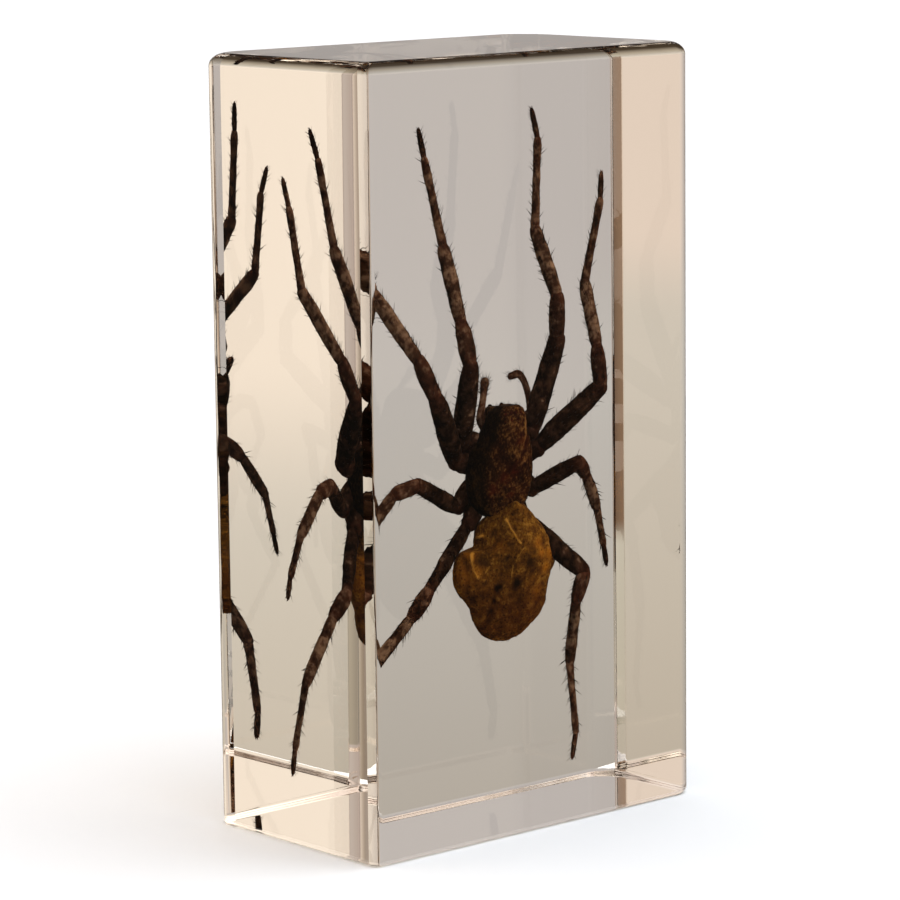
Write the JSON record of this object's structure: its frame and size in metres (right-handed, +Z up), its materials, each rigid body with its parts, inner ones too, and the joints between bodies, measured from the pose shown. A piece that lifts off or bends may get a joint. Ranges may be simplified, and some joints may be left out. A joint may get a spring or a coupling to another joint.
{
  "type": "spider in resin block",
  "caption": "Upright clear resin block with rounded edges and a whole dried spider cast inside it, head up.",
  "frame": {"origin": "middle of the block's foot", "axes": "+Z up along the block's length and towards the spider's head, -Y out of the wide front face that the spider's back is turned to, +X to the right as that face is looked at"},
  "size_m": [0.041, 0.024, 0.073],
  "materials": {
    "clear_resin": "clear polished casting resin with a faint warm tint",
    "spider": "dull dark brown dried chitin with fine bristles, amber on the abdomen"
  },
  "bodies": {
    "root": {"block_front": "clear_resin", "block_back": "clear_resin", "spider": "spider"}
  },
  "joints": []
}
